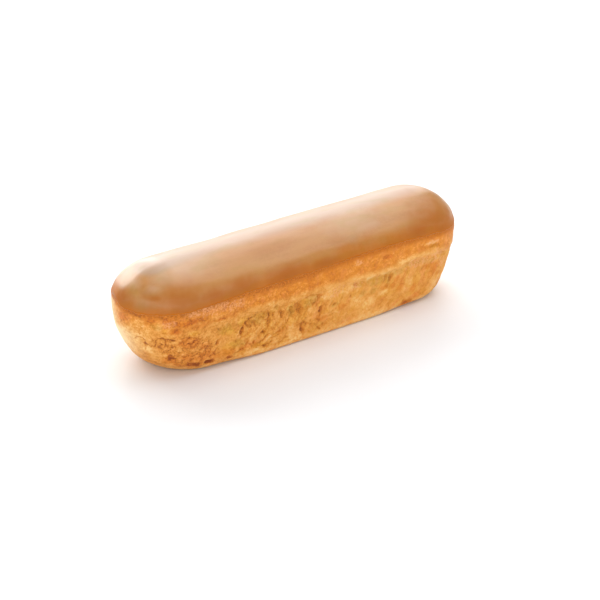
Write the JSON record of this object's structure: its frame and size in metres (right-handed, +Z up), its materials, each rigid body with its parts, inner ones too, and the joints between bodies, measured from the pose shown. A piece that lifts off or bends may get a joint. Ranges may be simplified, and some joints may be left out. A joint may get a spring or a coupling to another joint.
{
  "type": "iced eclair",
  "caption": "Oblong choux bun with a golden, torn-sided crust and a smooth, glossy coffee fondant cap dipped over its domed top.",
  "frame": {"origin": "in the flat base, under the middle of the whole outline's box", "axes": "+X along the bun towards its fuller end, where the icing's rim is higher, +Y across it towards the back, +Z up"},
  "size_m": [0.1498, 0.0371, 0.0392],
  "materials": {
    "choux_crust": "golden-brown baked choux crust, finely grained, with torn paler streaks, dark pits and a browner upper band",
    "coffee_icing": "smooth, softly glossy coffee-caramel fondant with a thin beaded rim"
  },
  "bodies": {
    "root": {"choux_bun": "choux_crust", "coffee_icing": "coffee_icing"}
  },
  "joints": []
}
